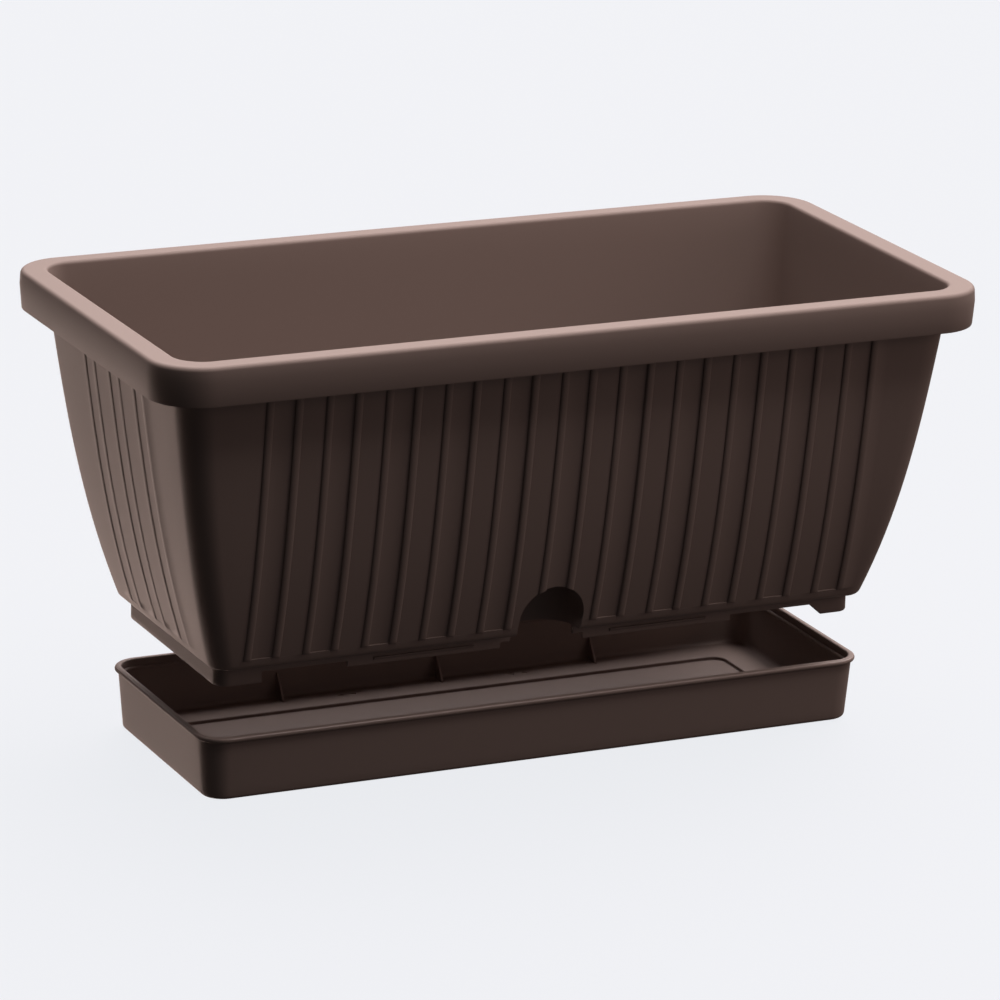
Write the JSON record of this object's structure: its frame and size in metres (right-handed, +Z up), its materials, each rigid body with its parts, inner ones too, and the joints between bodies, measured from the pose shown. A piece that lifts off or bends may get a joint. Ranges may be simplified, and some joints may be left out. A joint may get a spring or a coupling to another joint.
{
  "type": "self watering planter",
  "caption": "Rectangular ribbed planter trough with a flanged rim and a watering port, held above its saucer, with a soil grid and felt wicks.",
  "frame": {"origin": "on the floor under the middle of the box", "axes": "+X along the trough, -Y the front with the watering port, +Z up"},
  "size_m": [0.505, 0.2524, 0.2676],
  "materials": {
    "box_plastic": "satin dark brown",
    "saucer_plastic": "satin dark brown",
    "grid_plastic": "satin dark brown",
    "wick_felt": "undyed felt"
  },
  "bodies": {
    "saucer": {"saucer": "saucer_plastic"},
    "box": {"planter_box": "box_plastic"},
    "grid": {"soil_grid": "grid_plastic", "wick_1": "wick_felt", "wick_2": "wick_felt", "wick_3": "wick_felt", "wick_4": "wick_felt"}
  },
  "joints": [
    {"name": "box_lift", "type": "slide", "parent": "saucer", "child": "box", "axis": [0, 0, 1], "range_m": [-0.039, 0.1]},
    {"name": "grid_lift", "type": "slide", "parent": "box", "child": "grid", "axis": [0, 0, 1], "range_m": [0, 0.225]}
  ]
}
